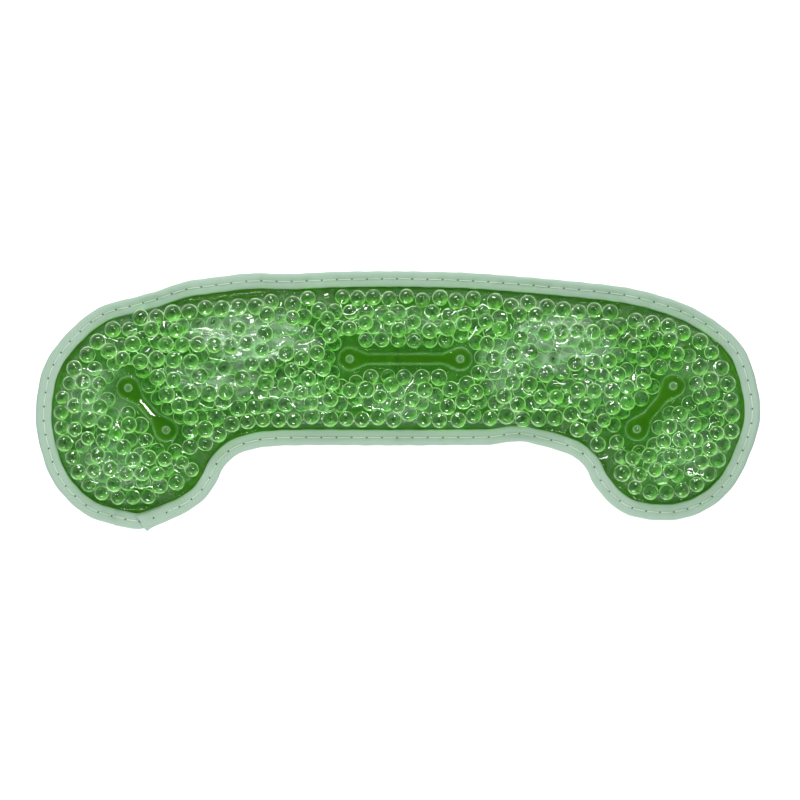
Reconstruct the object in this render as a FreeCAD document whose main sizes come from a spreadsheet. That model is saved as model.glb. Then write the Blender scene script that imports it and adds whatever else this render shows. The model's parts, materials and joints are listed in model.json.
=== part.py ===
"""Gel-bead eye pillow: an arched, flat-lying pack of two films on a soft fabric, filled with gel beads.

Frame: millimetres, +Z up, +X along the pack, origin at the middle of its footprint on the surface it lies on.
The pack is limp. It folds along its two side welds, so every layer is cut there into a centre band and two
end lobes, and a groove that opens upwards lets the lobes fold up as well as down.
"""

import FreeCAD, Part
import math
import os
import random
import Sketcher

Vector = FreeCAD.Vector
doc = FreeCAD.newDocument("EyePillow")

# ---------------------------------------------------------------- driving dimensions

DIMENSIONS = [
    ("overall_length", 275.0, "tip to tip over the binding"),
    ("overall_width", 97.0, "top of the arch to the lowest lobe"),
    ("crown_radius", 592.0, "long top edge"),
    ("crown_shift", 2.6, "top of the crown, left of the middle"),
    ("left_shoulder_radius", 49.4, "upper corner of the left end"),
    ("right_shoulder_radius", 45.7, "upper corner of the right end"),
    ("left_lobe_radius", 36.8, "lower round of the left end"),
    ("right_lobe_radius", 33.2, "lower round of the right end"),
    ("right_lobe_lift", 2.2, "the right lobe ends this much higher than the left"),
    ("left_armpit_radius", 19.7, "hollow corner between left lobe and lower edge"),
    ("right_armpit_radius", 21.4, "hollow corner between right lobe and lower edge"),
    ("lower_edge_drop", 17.9, "straight lower edge of the band, below the middle"),
    ("tape_width", 6.0, "binding tape on each face"),
    ("tape_thickness", 0.5, "one fold of binding tape"),
    ("fabric_thickness", 0.5, "back fabric"),
    ("film_thickness", 0.3, "each clear film"),
    ("thread_diameter", 0.4, "sewing thread"),
    ("stitch_pitch", 5.8, "needle hole to needle hole"),
    ("stitch_gap", 0.8, "gap between stitches at a needle hole"),
    ("stitch_inset", 3.1, "seam line from the outer edge"),
    ("edge_gap", 0.1, "between the layers' edges and the fold of the tape"),
    ("tape_clearance", 0.3, "between the tape's inner edge and the raised pouch"),
    ("overall_height", 12.6, "from the surface to the top of the dome"),
    ("dome_run", 16.0, "plan distance over which the dome rises"),
    ("weld_disc_diameter", 8.2, "round ends of a weld"),
    ("weld_bar_width", 3.8, "bar between a weld's two discs"),
    ("weld_taper", 25.0, "lean of the film beside a weld, degrees from upright"),
    ("centre_weld_x", 3.0, "middle of the centre weld"),
    ("centre_weld_y", 15.0, "middle of the centre weld"),
    ("centre_weld_angle", 0.0, "direction of the centre weld"),
    ("centre_weld_span", 42.0, "disc to disc"),
    ("left_weld_x", -95.0, "middle of the left weld"),
    ("left_weld_y", -4.0, "middle of the left weld"),
    ("left_weld_angle", -48.0, "direction of the left weld and fold"),
    ("left_weld_span", 21.5, "disc to disc"),
    ("right_weld_x", 98.0, "middle of the right weld"),
    ("right_weld_y", -3.5, "middle of the right weld"),
    ("right_weld_angle", 50.0, "direction of the right weld and fold"),
    ("right_weld_span", 21.5, "disc to disc"),
    ("fold_gap", 0.15, "half the slit between two bodies at the surface"),
    ("film_fold_gap", 0.48, "the same for the front film, which is stretched over the beads"),
    ("fold_slope", 14.0, "lean of each side of the fold groove, degrees"),
    ("gel_depth", 0.4, "wet layer of loose gel under the beads"),
    ("bead_diameter", 6.0, "swollen gel bead"),
    ("bead_spread", 0.35, "largest difference of a bead from that diameter"),
    ("reach", 200.0, "size of the cutting blocks, beyond the whole pack"),
    ("block_margin", 1.0, "cutting blocks stand this much above and below the pack"),
]

sheet = doc.addObject("Spreadsheet::Sheet", "dims")
size = {}
for row, (alias, value, note) in enumerate(DIMENSIONS, start=1):
    sheet.set(f"A{row}", alias)
    sheet.set(f"B{row}", str(value))
    sheet.set(f"C{row}", note)
    sheet.setAlias(f"B{row}", alias)
    size[alias] = value
doc.recompute()


class Measure:
    """A sum of sheet values, kept both as an expression on the sheet and as its number."""

    def __init__(self, *terms):
        pairs = [(1, term) if isinstance(term, str) else term for term in terms]
        self.expression = " + ".join(f"{factor} * dims.{alias}" for factor, alias in pairs) or "0"
        self.value = sum(factor * size[alias] for factor, alias in pairs)
        self.pairs = pairs

    def __add__(self, other):
        return Measure(*self.pairs, *other.pairs)

    def __neg__(self):
        return Measure(*[(-factor, alias) for factor, alias in self.pairs])

    def __sub__(self, other):
        return self + (-other)


def scaled(measure, factor):
    return Measure(*[(round(factor * share, 5), alias) for share, alias in measure.pairs])


NOTHING = Measure()

# Heights of the layers under the tape, from the surface up, and of the same layers inside it,
# where the pouch's weight presses the back fabric down onto the surface.
TAPE_BOTTOM = Measure("thread_diameter")
FABRIC_RIM = TAPE_BOTTOM + Measure("tape_thickness")
BACK_FILM_RIM = FABRIC_RIM + Measure("fabric_thickness")
FLANGE_BOTTOM = BACK_FILM_RIM + Measure("film_thickness")
FLANGE_TOP = FLANGE_BOTTOM + Measure("film_thickness")
TAPE_TOP = FLANGE_TOP + Measure("tape_thickness")
BACK_FILM_FLOOR = Measure("fabric_thickness")
WELD_FLOOR = BACK_FILM_FLOOR + Measure("film_thickness")
WELD_TOP = WELD_FLOOR + Measure("film_thickness")
BEAD_FLOOR = WELD_FLOOR + Measure("gel_depth")
DOME_TOP = Measure("overall_height")

# How far in from the outer edge each layer's own edge or step lies.
LAYER_EDGE = Measure("tape_thickness", "edge_gap")
FABRIC_STEP = Measure("tape_width", "tape_clearance")
BACK_FILM_STEP = FABRIC_STEP + Measure("fabric_thickness")
DOME_FOOT = BACK_FILM_STEP + Measure("film_thickness")
CAVITY_FOOT = DOME_FOOT + Measure("film_thickness")

# ---------------------------------------------------------------- the outline


def outline_centres():
    """Centres of the outline's arcs, where each arc meets the next in a common tangent."""
    half_length = size["overall_length"] / 2
    half_width = size["overall_width"] / 2
    crown = Vector(-size["crown_shift"], half_width - size["crown_radius"], 0)
    centres = {"crown": crown}
    for side, sign in (("left", -1), ("right", 1)):
        shoulder_radius = size[f"{side}_shoulder_radius"]
        lobe_radius = size[f"{side}_lobe_radius"]
        armpit_radius = size[f"{side}_armpit_radius"]
        x = sign * (half_length - shoulder_radius)
        reach = size["crown_radius"] - shoulder_radius
        shoulder = Vector(x, crown.y + math.sqrt(reach**2 - (x - crown.x) ** 2), 0)
        lift = size["right_lobe_lift"] if side == "right" else 0
        y = -half_width + lift + lobe_radius
        reach = shoulder_radius - lobe_radius
        lobe = Vector(shoulder.x + sign * math.sqrt(reach**2 - (y - shoulder.y) ** 2), y, 0)
        y = -size["lower_edge_drop"] - armpit_radius
        reach = lobe_radius + armpit_radius
        armpit = Vector(lobe.x - sign * math.sqrt(reach**2 - (lobe.y - y) ** 2), y, 0)
        centres.update({f"{side}_shoulder": shoulder, f"{side}_lobe": lobe, f"{side}_armpit": armpit})
    return centres


CENTRE = outline_centres()
HOLLOW = {"left_armpit", "right_armpit"}


def touch_point(big, small, inset):
    """Where two arcs that share a tangent meet, on the outline drawn in by inset."""
    start, end = CENTRE[big], CENTRE[small]
    direction = (end - start).normalize()
    radius = size[f"{big}_radius"]
    return start + direction * (radius - inset)


def outline_corners(inset):
    """The eight meeting points of the outline's arcs, keyed by the two names that meet."""
    drop = -size["lower_edge_drop"] + inset
    corners = {"lower_left": Vector(CENTRE["left_armpit"].x, drop, 0)}
    corners["lower_right"] = Vector(CENTRE["right_armpit"].x, drop, 0)
    for side in ("left", "right"):
        corners[f"{side}_top"] = touch_point("crown", f"{side}_shoulder", inset)
        corners[f"{side}_tip"] = touch_point(f"{side}_shoulder", f"{side}_lobe", inset)
        corners[f"{side}_inner"] = touch_point(f"{side}_lobe", f"{side}_armpit", inset)
    return corners


# Each arc runs anticlockwise about its own centre: name, first corner, last corner.
ARCS = [
    ("crown", "right_top", "left_top"),
    ("left_shoulder", "left_top", "left_tip"),
    ("left_lobe", "left_tip", "left_inner"),
    ("left_armpit", "lower_left", "left_inner"),
    ("right_armpit", "right_inner", "lower_right"),
    ("right_lobe", "right_inner", "right_tip"),
    ("right_shoulder", "right_tip", "right_top"),
]
LOWER_EDGE = len(ARCS)


def arc_radius(name, inset):
    return size[f"{name}_radius"] + (inset if name in HOLLOW else -inset)


def arc_angles(name, first, last, corners):
    """Start and end angle of an arc, the end always the larger."""
    start = math.atan2(*reversed((corners[first] - CENTRE[name])[:2]))
    end = math.atan2(*reversed((corners[last] - CENTRE[name])[:2]))
    return start, end if end > start else end + 2 * math.pi


# ---------------------------------------------------------------- sketches and bodies


def origin_plane(body, role):
    return next(plane for plane in body.Origin.OriginFeatures if plane.Role == role)


def attached_sketch(body, name, role, height):
    """An empty sketch on one of the body's origin planes, raised by height."""
    sketch = body.newObject("Sketcher::SketchObject", name)
    sketch.AttachmentSupport = (origin_plane(body, role), [""])
    sketch.MapMode = "FlatFace"
    sketch.AttachmentOffset = FreeCAD.Placement(Vector(0, 0, height.value), FreeCAD.Rotation())
    sketch.setExpression("AttachmentOffset.Base.z", height.expression)
    return sketch


def dimension(sketch, kind, references, measure):
    """A distance from the first reference to the second that follows the sheet, whatever its sign."""
    expression = measure.expression
    if measure.value < 0:
        references = references[2:] + references[:2]
        expression = f"-({expression})"
    index = sketch.addConstraint(Sketcher.Constraint(kind, *references, abs(measure.value)))
    sketch.setExpression(f"Constraints[{index}]", expression)


def polygon(sketch, points):
    """Lines through the points and back to the first, upright and level ones kept so."""
    for number, point in enumerate(points):
        following = points[(number + 1) % len(points)]
        sketch.addGeometry(Part.LineSegment(point, following))
        if abs(point.x - following.x) < 1e-9:
            sketch.addConstraint(Sketcher.Constraint("Vertical", number))
        if abs(point.y - following.y) < 1e-9:
            sketch.addConstraint(Sketcher.Constraint("Horizontal", number))
    for number in range(len(points)):
        following = (number + 1) % len(points)
        sketch.addConstraint(Sketcher.Constraint("Coincident", number, 2, following, 1))


def outline_sketch(body, name, inset, height):
    """The pack's outline drawn in by inset: seven tangent arcs and the straight lower edge."""
    sketch = attached_sketch(body, name, "XY_Plane", height)
    corners = outline_corners(inset.value)
    for arc, first, last in ARCS:
        circle = Part.Circle(CENTRE[arc], Vector(0, 0, 1), arc_radius(arc, inset.value))
        sketch.addGeometry(Part.ArcOfCircle(circle, *arc_angles(arc, first, last, corners)))
    sketch.addGeometry(Part.LineSegment(corners["lower_left"], corners["lower_right"]))

    geometry = {arc: index for index, (arc, _, _) in enumerate(ARCS)}
    ends = {}
    for arc, first, last in ARCS:
        ends.setdefault(first, []).append((geometry[arc], 1))
        ends.setdefault(last, []).append((geometry[arc], 2))
    ends["lower_left"].append((LOWER_EDGE, 1))
    ends["lower_right"].append((LOWER_EDGE, 2))
    for (one, one_end), (other, other_end) in ends.values():
        sketch.addConstraint(Sketcher.Constraint("Tangent", one, one_end, other, other_end))

    for arc, index in geometry.items():
        radius = Measure(f"{arc}_radius") + (inset if arc in HOLLOW else -inset)
        constraint = sketch.addConstraint(Sketcher.Constraint("Radius", index, radius.value))
        sketch.setExpression(f"Constraints[{constraint}]", radius.expression)
    centre_x = {
        "crown": Measure((-1, "crown_shift")),
        "left_shoulder": Measure((-0.5, "overall_length"), "left_shoulder_radius"),
        "right_shoulder": Measure((0.5, "overall_length"), (-1, "right_shoulder_radius")),
    }
    centre_y = {
        "crown": Measure((0.5, "overall_width"), (-1, "crown_radius")),
        "left_lobe": Measure((-0.5, "overall_width"), "left_lobe_radius"),
        "right_lobe": Measure((-0.5, "overall_width"), "right_lobe_lift", "right_lobe_radius"),
    }
    for arc, measure in centre_x.items():
        dimension(sketch, "DistanceX", [-1, 1, geometry[arc], 3], measure)
    for arc, measure in centre_y.items():
        dimension(sketch, "DistanceY", [-1, 1, geometry[arc], 3], measure)
    dimension(sketch, "DistanceY", [-1, 1, LOWER_EDGE, 1], inset - Measure("lower_edge_drop"))
    sketch.addConstraint(Sketcher.Constraint("Horizontal", LOWER_EDGE))
    return sketch


def new_body(name):
    body = doc.addObject("PartDesign::Body", name)
    body.Label = name
    return body


def padded(body, kind, sketch, length, reversed_way=False):
    """A Pad or Pocket of the sketch, as long as the measure says."""
    feature = body.newObject(f"PartDesign::{kind}", f"{sketch.Name}_{kind.lower()}")
    feature.Profile = sketch
    feature.Length = length.value
    feature.setExpression("Length", length.expression)
    feature.Reversed = reversed_way
    sketch.Visibility = False
    return feature


def layer_sheet(name, inset, bottom, top):
    """A flat sheet with the pack's outline."""
    body = new_body(name)
    sketch = outline_sketch(body, f"{name}_outline", inset, bottom)
    padded(body, "Pad", sketch, top - bottom)
    return body


def stepped_sheet(name, step, rim_bottom, floor, thickness):
    """A sheet whose rim lies inside the tape and whose middle is pressed down inside the step."""
    body = new_body(name)
    rim = outline_sketch(body, f"{name}_rim", LAYER_EDGE, rim_bottom)
    padded(body, "Pad", rim, thickness)
    middle = outline_sketch(body, f"{name}_middle", step, floor)
    padded(body, "Pad", middle, rim_bottom + thickness - floor)
    hollow = outline_sketch(body, f"{name}_hollow", step + thickness, floor + thickness)
    padded(body, "Pocket", hollow, rim_bottom + thickness - floor, reversed_way=True)
    return body


def lofted_body(name, sections):
    """A solid through the outline at several insets and heights."""
    body = new_body(name)
    sketches = []
    for number, (inset, height) in enumerate(sections):
        sketches.append(outline_sketch(body, f"{name}_section_{number}", inset, height))
    loft = body.newObject("PartDesign::AdditiveLoft", f"{name}_loft")
    loft.Profile = sketches[0]
    loft.Sections = sketches[1:]
    loft.Ruled = True
    return body


# ---------------------------------------------------------------- whole layers

DOME_STEPS = 5


def dome_sections(foot, thickness):
    """The dome's profile as a quarter ellipse, drawn in by thickness all the way round."""
    rise = DOME_TOP - FLANGE_TOP
    sections = [(foot, WELD_FLOOR)]
    for step in range(DOME_STEPS):
        turn = step / (DOME_STEPS - 1) * math.pi / 2
        inset = foot + scaled(Measure("dome_run"), 1 - math.cos(turn))
        height = FLANGE_TOP + scaled(rise, math.sin(turn)) - scaled(thickness, math.sin(turn))
        sections.append((inset, height))
    return sections


FABRIC = Measure("fabric_thickness")
FILM = Measure("film_thickness")

back_fabric = stepped_sheet("whole_back_fabric", FABRIC_STEP, FABRIC_RIM, NOTHING, FABRIC)
back_film = stepped_sheet("whole_back_film", BACK_FILM_STEP, BACK_FILM_RIM, BACK_FILM_FLOOR, FILM)

binding_tape = new_body("whole_binding_tape")
tape_outer = outline_sketch(binding_tape, "tape_outer", NOTHING, TAPE_BOTTOM)
padded(binding_tape, "Pad", tape_outer, TAPE_TOP - TAPE_BOTTOM)
tape_inner = outline_sketch(binding_tape, "tape_inner", Measure("tape_width"), TAPE_BOTTOM)
padded(binding_tape, "Pocket", tape_inner, TAPE_TOP - TAPE_BOTTOM, reversed_way=True)
tape_fold = outline_sketch(binding_tape, "tape_fold", Measure("tape_thickness"), FABRIC_RIM)
padded(binding_tape, "Pocket", tape_fold, FLANGE_TOP - FABRIC_RIM, reversed_way=True)


def weld_form(name, weld, grow, bottom):
    """A dumbbell that widens upwards: a tapered bar and a tapered disc at each of its ends."""
    body = new_body(name)
    height = DOME_TOP + Measure("film_thickness") - bottom
    half_span = scaled(Measure(f"{weld}_weld_span"), 0.5)
    half_bar = scaled(Measure("weld_bar_width"), 0.5) + grow
    radius = scaled(Measure("weld_disc_diameter"), 0.5) + grow

    bar = attached_sketch(body, f"{name}_bar", "XY_Plane", NOTHING)
    corners = [(-1, -1), (1, -1), (1, 1), (-1, 1)]
    polygon(bar, [Vector(x * half_span.value, y * half_bar.value, 0) for x, y in corners])
    for corner, sign in ((0, -1), (2, 1)):
        along = half_span if sign > 0 else -half_span
        across = half_bar if sign > 0 else -half_bar
        dimension(bar, "DistanceX", [-1, 1, corner, 1], along)
        dimension(bar, "DistanceY", [-1, 1, corner, 1], across)

    discs = attached_sketch(body, f"{name}_discs", "XY_Plane", NOTHING)
    for number, along in enumerate((-half_span, half_span)):
        discs.addGeometry(Part.Circle(Vector(along.value, 0, 0), Vector(0, 0, 1), radius.value))
        dimension(discs, "DistanceX", [-1, 1, number, 3], along)
        discs.addConstraint(Sketcher.Constraint("PointOnObject", number, 3, -1))
        constraint = discs.addConstraint(Sketcher.Constraint("Radius", number, radius.value))
        discs.setExpression(f"Constraints[{constraint}]", radius.expression)

    for sketch in (bar, discs):
        pad = padded(body, "Pad", sketch, height)
        pad.TaperAngle = size["weld_taper"]
        pad.setExpression("TaperAngle", "dims.weld_taper")
    place_on_weld(body, weld, bottom)
    return body


def place_on_weld(body, weld, bottom):
    """Puts a body's own X axis along a weld, at that height."""
    base = Vector(size[f"{weld}_weld_x"], size[f"{weld}_weld_y"], bottom.value)
    turn = FreeCAD.Rotation(Vector(0, 0, 1), size[f"{weld}_weld_angle"])
    body.Placement = FreeCAD.Placement(base, turn)
    body.setExpression("Placement.Base.x", f"dims.{weld}_weld_x")
    body.setExpression("Placement.Base.y", f"dims.{weld}_weld_y")
    body.setExpression("Placement.Base.z", bottom.expression)
    body.setExpression("Placement.Rotation.Angle", f"dims.{weld}_weld_angle * 1 deg")


def fused(name, shapes):
    feature = doc.addObject("Part::MultiFuse", name)
    feature.Shapes = shapes
    return feature


def combined(kind, name, base, tool):
    """Part::Cut or Part::Common of two objects."""
    feature = doc.addObject(f"Part::{kind}", name)
    feature.Base = base
    feature.Tool = tool
    return feature


WELDS = ("centre", "left", "right")
GEL_CLEARANCE = FILM + Measure("edge_gap")
wells = fused("weld_wells", [weld_form(f"{weld}_well", weld, NOTHING, WELD_TOP) for weld in WELDS])
posts = fused("weld_posts", [weld_form(f"{weld}_post", weld, FILM, WELD_FLOOR) for weld in WELDS])
gel_holes = fused(
    "gel_holes", [weld_form(f"{weld}_gel_hole", weld, GEL_CLEARANCE, WELD_FLOOR) for weld in WELDS]
)

dome = lofted_body("dome", dome_sections(DOME_FOOT, NOTHING))
cavity = lofted_body("cavity", dome_sections(CAVITY_FOOT, FILM))
flange = layer_sheet("flange", LAYER_EDGE, FLANGE_BOTTOM, FLANGE_TOP)
flange_window = outline_sketch(flange, "flange_window", DOME_FOOT + Measure("edge_gap"), FLANGE_BOTTOM)
padded(flange, "Pocket", flange_window, FLANGE_TOP - FLANGE_BOTTOM, reversed_way=True)
dome_skin = combined("Cut", "dome_skin", dome, cavity)
well_walls = combined("Common", "well_walls", posts, dome)
open_film = fused("open_film", [flange, dome_skin, well_walls])
front_film = combined("Cut", "whole_front_film", open_film, wells)

gel_plate = layer_sheet("gel_plate", CAVITY_FOOT + FILM, WELD_FLOOR, BEAD_FLOOR)
gel_fluid = combined("Cut", "whole_gel_fluid", gel_plate, gel_holes)

# ---------------------------------------------------------------- sewing


def walk_outline(inset, step):
    """Points a step apart round the outline, drawn in by inset."""
    corners = outline_corners(inset)
    runs = []
    for name, first, last in ARCS:
        start, end = arc_angles(name, first, last, corners)
        if name in HOLLOW:
            start, end = end, start
        runs.append((name, start, end, abs(end - start) * arc_radius(name, inset)))
    edge = corners["lower_right"] - corners["lower_left"]
    runs.insert(4, ("lower_edge", 0, 1, edge.Length))
    total = sum(run[3] for run in runs)
    count = round(total / step)
    for number in range(count):
        travel = number * total / count
        for name, start, end, length in runs:
            if travel <= length:
                break
            travel -= length
        if name == "lower_edge":
            yield corners["lower_left"] + edge * (travel / length)
        else:
            angle = start + (end - start) * travel / length
            across = Vector(math.cos(angle), math.sin(angle), 0)
            yield CENTRE[name] + across * arc_radius(name, inset)


def seam(name, height):
    """One side of the lockstitch: a short straight thread from each needle hole to the next."""
    radius = size["thread_diameter"] / 2
    holes = list(walk_outline(size["stitch_inset"], size["stitch_pitch"]))
    threads = []
    for hole, following in zip(holes, holes[1:] + holes[:1]):
        along = following - hole
        length = along.Length - size["stitch_gap"]
        along.normalize()
        start = hole + along * (size["stitch_gap"] / 2) + Vector(0, 0, height)
        threads.append(Part.makeCylinder(radius, length, start, along))
    feature = doc.addObject("Part::Feature", name)
    feature.Shape = Part.makeCompound(threads)
    return feature


needle_thread = seam("whole_needle_thread", TAPE_TOP.value + size["thread_diameter"] / 2)
bobbin_thread = seam("whole_bobbin_thread", size["thread_diameter"] / 2)

# ---------------------------------------------------------------- the three bodies


def fold_block(name, weld, side, slit):
    """Everything on one side of a fold: side -1 is the end lobe, +1 the rest of the pack."""
    body = new_body(name)
    sketch = attached_sketch(body, f"{name}_profile", "YZ_Plane", Measure((-1, "reach")))
    lean = side * math.tan(math.radians(size["fold_slope"]))
    gap = scaled(Measure(slit), side)
    top = Measure("overall_height", "block_margin")
    bottom = Measure((-1, "block_margin"))
    far = scaled(Measure("reach"), -1 if side < 0 else 2)
    shoulder = gap + scaled(top, lean)
    corners = [(gap, bottom), (gap, NOTHING), (shoulder, top), (far, top), (far, bottom)]
    polygon(sketch, [Vector(across.value, up.value, 0) for across, up in corners])
    sketch.addConstraint(Sketcher.Constraint("PointOnObject", 1, 1, -1))
    dimension(sketch, "DistanceX", [-1, 1, 1, 1], gap)
    dimension(sketch, "DistanceY", [-1, 1, 0, 1], bottom)
    dimension(sketch, "DistanceX", [-1, 1, 2, 1], shoulder)
    dimension(sketch, "DistanceY", [-1, 1, 2, 1], top)
    dimension(sketch, "DistanceX", [-1, 1, 3, 1], far)
    padded(body, "Pad", sketch, Measure((2, "reach")))
    place_on_weld(body, weld, NOTHING)
    return body


def local_to_weld(point, weld):
    """A point's place along and across a weld's direction."""
    angle = math.radians(size[f"{weld}_weld_angle"])
    dx = point.x - size[f"{weld}_weld_x"]
    dy = point.y - size[f"{weld}_weld_y"]
    return dx * math.cos(angle) + dy * math.sin(angle), dy * math.cos(angle) - dx * math.sin(angle)


def zone_of(point):
    """Which body a point belongs to: the lobes lie on the negative side of their folds."""
    for side in ("left", "right"):
        if local_to_weld(point, side)[1] < 0:
            return side
    return "centre"


def three_zones(prefix, slit):
    """The blocks that cut a layer into its left lobe, right lobe and centre band."""
    lobes = {side: fold_block(f"{prefix}_{side}_zone", side, -1, slit) for side in ("left", "right")}
    rests = [fold_block(f"{prefix}_{side}_rest", side, 1, slit) for side in ("left", "right")]
    return {**lobes, "centre": combined("Common", f"{prefix}_centre_zone", *rests)}


zones = three_zones("layer", "fold_gap")
film_zones = three_zones("film", "film_fold_gap")
layers = {
    "back_fabric": back_fabric,
    "back_film": back_film,
    "gel_fluid": gel_fluid,
    "front_film": front_film,
    "binding_tape": binding_tape,
    "needle_thread": needle_thread,
    "bobbin_thread": bobbin_thread,
}
parts = []
for layer, whole in layers.items():
    for zone, block in (film_zones if layer == "front_film" else zones).items():
        piece = combined("Common", f"{layer}_{zone}", whole, block)
        piece.Label = f"{layer}_{zone}"
        parts.append(piece)

# ---------------------------------------------------------------- gel beads

random.seed(11)
TOUCH = 0.02
BEAD_RADIUS = size["bead_diameter"] / 2
LOOSENESS = 1.03
UPPER_LAYER_SHARE = {"left": 0.7, "centre": 0.6, "right": 0.75}
LAYER_INSETS = (9.5, 14.0)
LAYER_WELD_GAPS = (1.5, 4.5)
LAYER_RISE = 1.7
WELD_NEIGHBOURHOOD = 45.0
SETTLING_ROUNDS = 220
FIRST_SINK = 0.12
PAIRING_INTERVAL = 5
PAIRING_REACH = size["bead_diameter"] * 1.3
LEAST_RADIUS = size["bead_diameter"] * 0.36
WELD_SLOPE = math.radians(size["weld_taper"])
FOLD_SLOPE = math.radians(size["fold_slope"])
# Places where the beads have slid away and the wet film lies on the back: x, y, radius.
BARE_PATCHES = [
    (36.0, 8.0, 5.0),
    (14.0, 5.0, 4.5),
    (-28.0, 38.0, 4.0),
    (42.0, -7.0, 4.0),
    (5.0, -5.5, 3.5),
    (-112.0, 16.0, 4.0),
    (-77.0, -15.0, 4.0),
    (120.0, -8.0, 4.0),
]
OUTLINE_CORNERS = outline_corners(0)
OUTLINE_ARCS = []
for name, first, last in ARCS:
    start, end = arc_angles(name, first, last, OUTLINE_CORNERS)
    OUTLINE_ARCS.append((CENTRE[name].x, CENTRE[name].y, arc_radius(name, 0), start, end, name in HOLLOW))


def edge_distance(x, y):
    """Distance in from the outer edge, and the direction that leads further in."""
    best = (1e9, 0.0, 1.0)
    if OUTLINE_CORNERS["lower_left"].x <= x <= OUTLINE_CORNERS["lower_right"].x:
        best = (y + size["lower_edge_drop"], 0.0, 1.0)
    for cx, cy, radius, start, end, hollow in OUTLINE_ARCS:
        dx, dy = x - cx, y - cy
        if (math.atan2(dy, dx) - start) % (2 * math.pi) > end - start:
            continue
        length = math.hypot(dx, dy) or 1e-9
        distance = length - radius if hollow else radius - length
        if distance < best[0]:
            way = 1 if hollow else -1
            best = (distance, way * dx / length, way * dy / length)
    return best


def weld_distance(x, y, weld):
    """Distance out from a weld post's foot, and the direction that leads further out."""
    along, across = local_to_weld(Vector(x, y, 0), weld)
    half_span = size[f"{weld}_weld_span"] / 2
    film = size["film_thickness"]
    nearest = max(-half_span, min(half_span, along))
    length = math.hypot(along - nearest, across) or 1e-9
    best = (length - size["weld_bar_width"] / 2 - film, (along - nearest) / length, across / length)
    for end in (-half_span, half_span):
        length = math.hypot(along - end, across) or 1e-9
        distance = length - size["weld_disc_diameter"] / 2 - film
        if distance < best[0]:
            best = (distance, (along - end) / length, across / length)
    angle = math.radians(size[f"{weld}_weld_angle"])
    dx = best[1] * math.cos(angle) - best[2] * math.sin(angle)
    dy = best[1] * math.sin(angle) + best[2] * math.cos(angle)
    return best[0], dx, dy


def wall_planes():
    """The dome's inside in section, as (inset, height, way in, way up) of each flat stretch."""
    sections = [(inset.value, height.value) for inset, height in dome_sections(CAVITY_FOOT, FILM)]
    planes = []
    for (inset, height), (next_inset, next_height) in zip(sections, sections[1:]):
        run, rise = next_inset - inset, next_height - height
        length = math.hypot(run, rise)
        planes.append((inset, height, rise / length, -run / length))
    planes.append((0.0, sections[-1][1], 0.0, -1.0))
    planes.append((0.0, BEAD_FLOOR.value, 0.0, 1.0))
    return planes


WALLS = wall_planes()


def keep_inside(bead):
    """Moves a bead clear of the dome, the floor, the weld posts and the folds."""
    x, y, z, radius, zone = bead
    need = radius + TOUCH
    inset, in_x, in_y = edge_distance(x, y)
    for wall_inset, wall_height, way_in, way_up in WALLS:
        short = need - ((inset - wall_inset) * way_in + (z - wall_height) * way_up)
        if short > 0:
            x += in_x * way_in * short
            y += in_y * way_in * short
            z += way_up * short
            inset += way_in * short
    for weld in WELDS:
        if abs(x - size[f"{weld}_weld_x"]) > WELD_NEIGHBOURHOOD:
            continue
        out, out_x, out_y = weld_distance(x, y, weld)
        rise = z - WELD_FLOOR.value
        short = need - (out * math.cos(WELD_SLOPE) - rise * math.sin(WELD_SLOPE))
        if short > 0:
            x += out_x * short / math.cos(WELD_SLOPE)
            y += out_y * short / math.cos(WELD_SLOPE)
    for side in ("left", "right"):
        way = -1 if zone == side else 1
        across = way * local_to_weld(Vector(x, y, 0), side)[1]
        short = need - ((across - size["fold_gap"]) * math.cos(FOLD_SLOPE) - z * math.sin(FOLD_SLOPE))
        if short > 0:
            angle = math.radians(size[f"{side}_weld_angle"])
            x -= way * math.sin(angle) * short / math.cos(FOLD_SLOPE)
            y += way * math.cos(angle) * short / math.cos(FOLD_SLOPE)
    bead[0], bead[1], bead[2] = x, y, z


def neighbours(beads, reach):
    """Pairs of beads whose centres are nearer than reach."""
    cells = {}
    for index, bead in enumerate(beads):
        cells.setdefault((int(bead[0] // reach), int(bead[1] // reach)), []).append(index)
    pairs = []
    for (column, line), here in cells.items():
        near = list(here)
        for key in ((column + 1, line - 1), (column + 1, line), (column + 1, line + 1), (column, line + 1)):
            near.extend(cells.get(key, ()))
        for position, one in enumerate(here):
            for other in near[position + 1 :]:
                dx = beads[other][0] - beads[one][0]
                dy = beads[other][1] - beads[one][1]
                dz = beads[other][2] - beads[one][2]
                if dx * dx + dy * dy + dz * dz < reach * reach:
                    pairs.append((one, other))
    return pairs


def strewn_beads():
    """A full lower layer on a loose triangular grid, and a patchy upper layer over its deeper parts."""
    pitch = size["bead_diameter"] * LOOSENESS
    row_pitch = pitch * math.sqrt(3) / 2
    rows = int(size["overall_width"] / row_pitch)
    columns = int(size["overall_length"] / pitch)
    beads = []
    for layer, least_inset in enumerate(LAYER_INSETS):
        for row in range(rows):
            for column in range(columns):
                shift = 0.5 * ((row + layer) % 2)
                x = (column + shift) * pitch - size["overall_length"] / 2 + random.uniform(-1, 1)
                y = row * row_pitch - size["overall_width"] / 2 + random.uniform(-1, 1)
                lot = random.random()
                spread = random.uniform(-1, 1) * size["bead_spread"] / 2
                zone = zone_of(Vector(x, y, 0))
                if layer and lot > UPPER_LAYER_SHARE[zone]:
                    continue
                if edge_distance(x, y)[0] < least_inset:
                    continue
                if min(weld_distance(x, y, weld)[0] for weld in WELDS) < LAYER_WELD_GAPS[layer]:
                    continue
                if any(math.hypot(x - bx, y - by) < bare for bx, by, bare in BARE_PATCHES):
                    continue
                z = BEAD_FLOOR.value + BEAD_RADIUS * (1 + LAYER_RISE * layer)
                beads.append([x, y, z, BEAD_RADIUS + spread, zone])
    return beads


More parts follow.
